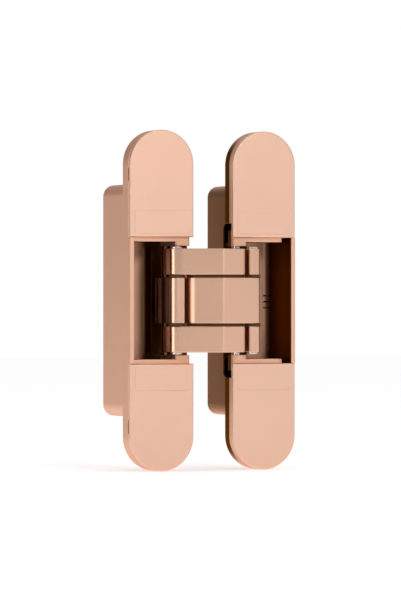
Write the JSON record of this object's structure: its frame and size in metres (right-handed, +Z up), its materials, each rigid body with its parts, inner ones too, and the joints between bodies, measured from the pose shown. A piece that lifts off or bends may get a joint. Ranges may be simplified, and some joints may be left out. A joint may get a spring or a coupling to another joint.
{
  "type": "concealed door hinge",
  "caption": "Concealed door hinge shown opened flat: rounded flanges with clip-on covers and rear boxes, joined by interleaved arms on pivot pins.",
  "frame": {"origin": "middle of the frame unit's fixing-screw pattern, on the rear shoulder of its flange", "axes": "+Z up along the pivot pins, covers face -Y, +X from the frame unit towards the door unit"},
  "size_m": [0.0735, 0.0456, 0.14],
  "materials": {
    "castings": "satin rose-gold plated casting",
    "covers": "satin rose-gold plated cover",
    "arms": "satin rose-gold plated arm",
    "pins": "ground steel",
    "washers": "brown bearing plastic",
    "spacers": "turned steel sleeve",
    "screws": "plain steel",
    "plates": "plain steel"
  },
  "bodies": {
    "frame_housing": {"frame_housing": "castings", "frame_cover_upper": "covers", "frame_cover_lower": "covers", "frame_clamp_screws": "screws", "frame_clamp_plates": "plates"},
    "frame_carrier": {"frame_carrier": "castings", "frame_arm_pin": "pins", "frame_arm_washers": "washers", "frame_link_pin": "pins", "frame_link_spacers": "spacers"},
    "inner_arm": {"inner_arm": "arms", "centre_pin": "pins", "centre_washers": "washers", "door_knuckle_pin": "pins", "door_knuckle_washers": "washers"},
    "outer_arm": {"outer_arm_upper": "arms", "outer_arm_lower": "arms", "frame_knuckle_pin": "pins", "frame_knuckle_washers": "washers"},
    "frame_link": {"frame_link": "arms"},
    "door_link": {"door_link_upper": "arms", "door_link_lower": "arms"},
    "door_carrier": {"door_arm_pin": "pins", "door_link_pin": "pins", "door_link_spacer": "spacers", "door_link_washers": "washers", "door_carrier": "castings"},
    "door_housing": {"door_clamp_screws": "screws", "door_clamp_plates": "plates", "door_housing": "castings", "door_cover_upper": "covers", "door_cover_lower": "covers"}
  },
  "joints": [
    {"name": "height_adjust", "type": "slide", "parent": "frame_housing", "child": "frame_carrier", "axis": [0, 0, 1], "range_m": [-0.0025, 0.0025]},
    {"name": "arm_fold", "type": "hinge", "parent": "frame_carrier", "child": "inner_arm", "pos_m": [0.01, -0.0022, 0], "axis": [0, 0, -1], "range_deg": [0, 107.89]},
    {"name": "arm_scissor", "type": "hinge", "parent": "inner_arm", "child": "outer_arm", "pos_m": [0.02275, -0.015, 0], "axis": [0, 0, -1], "range_deg": [-35.8, 0]},
    {"name": "door_swing", "type": "hinge", "parent": "outer_arm", "child": "door_carrier", "pos_m": [0.0355, -0.0022, 0], "axis": [0, 0, -1], "range_deg": [0, 107.91]},
    {"name": "frame_link_swing", "type": "hinge", "parent": "outer_arm", "child": "frame_link", "pos_m": [0.0058, -0.0099, 0], "axis": [0, 0, -1], "range_deg": [0, 33.03]},
    {"name": "door_link_swing", "type": "hinge", "parent": "inner_arm", "child": "door_link", "pos_m": [0.0397, -0.0099, 0], "axis": [0, 0, -1], "range_deg": [-33.03, 0]},
    {"name": "side_adjust", "type": "slide", "parent": "door_carrier", "child": "door_housing", "axis": [1, 0, 0], "range_m": [-0.0006, 0.0015]}
  ],
  "couplings": [
    {"joint": "arm_scissor", "follows": "arm_fold", "ratio": -0.33172},
    {"joint": "door_swing", "follows": "arm_fold", "ratio": 1},
    {"joint": "frame_link_swing", "follows": "arm_fold", "ratio": 0.30599},
    {"joint": "door_link_swing", "follows": "arm_fold", "ratio": -0.30599}
  ]
}
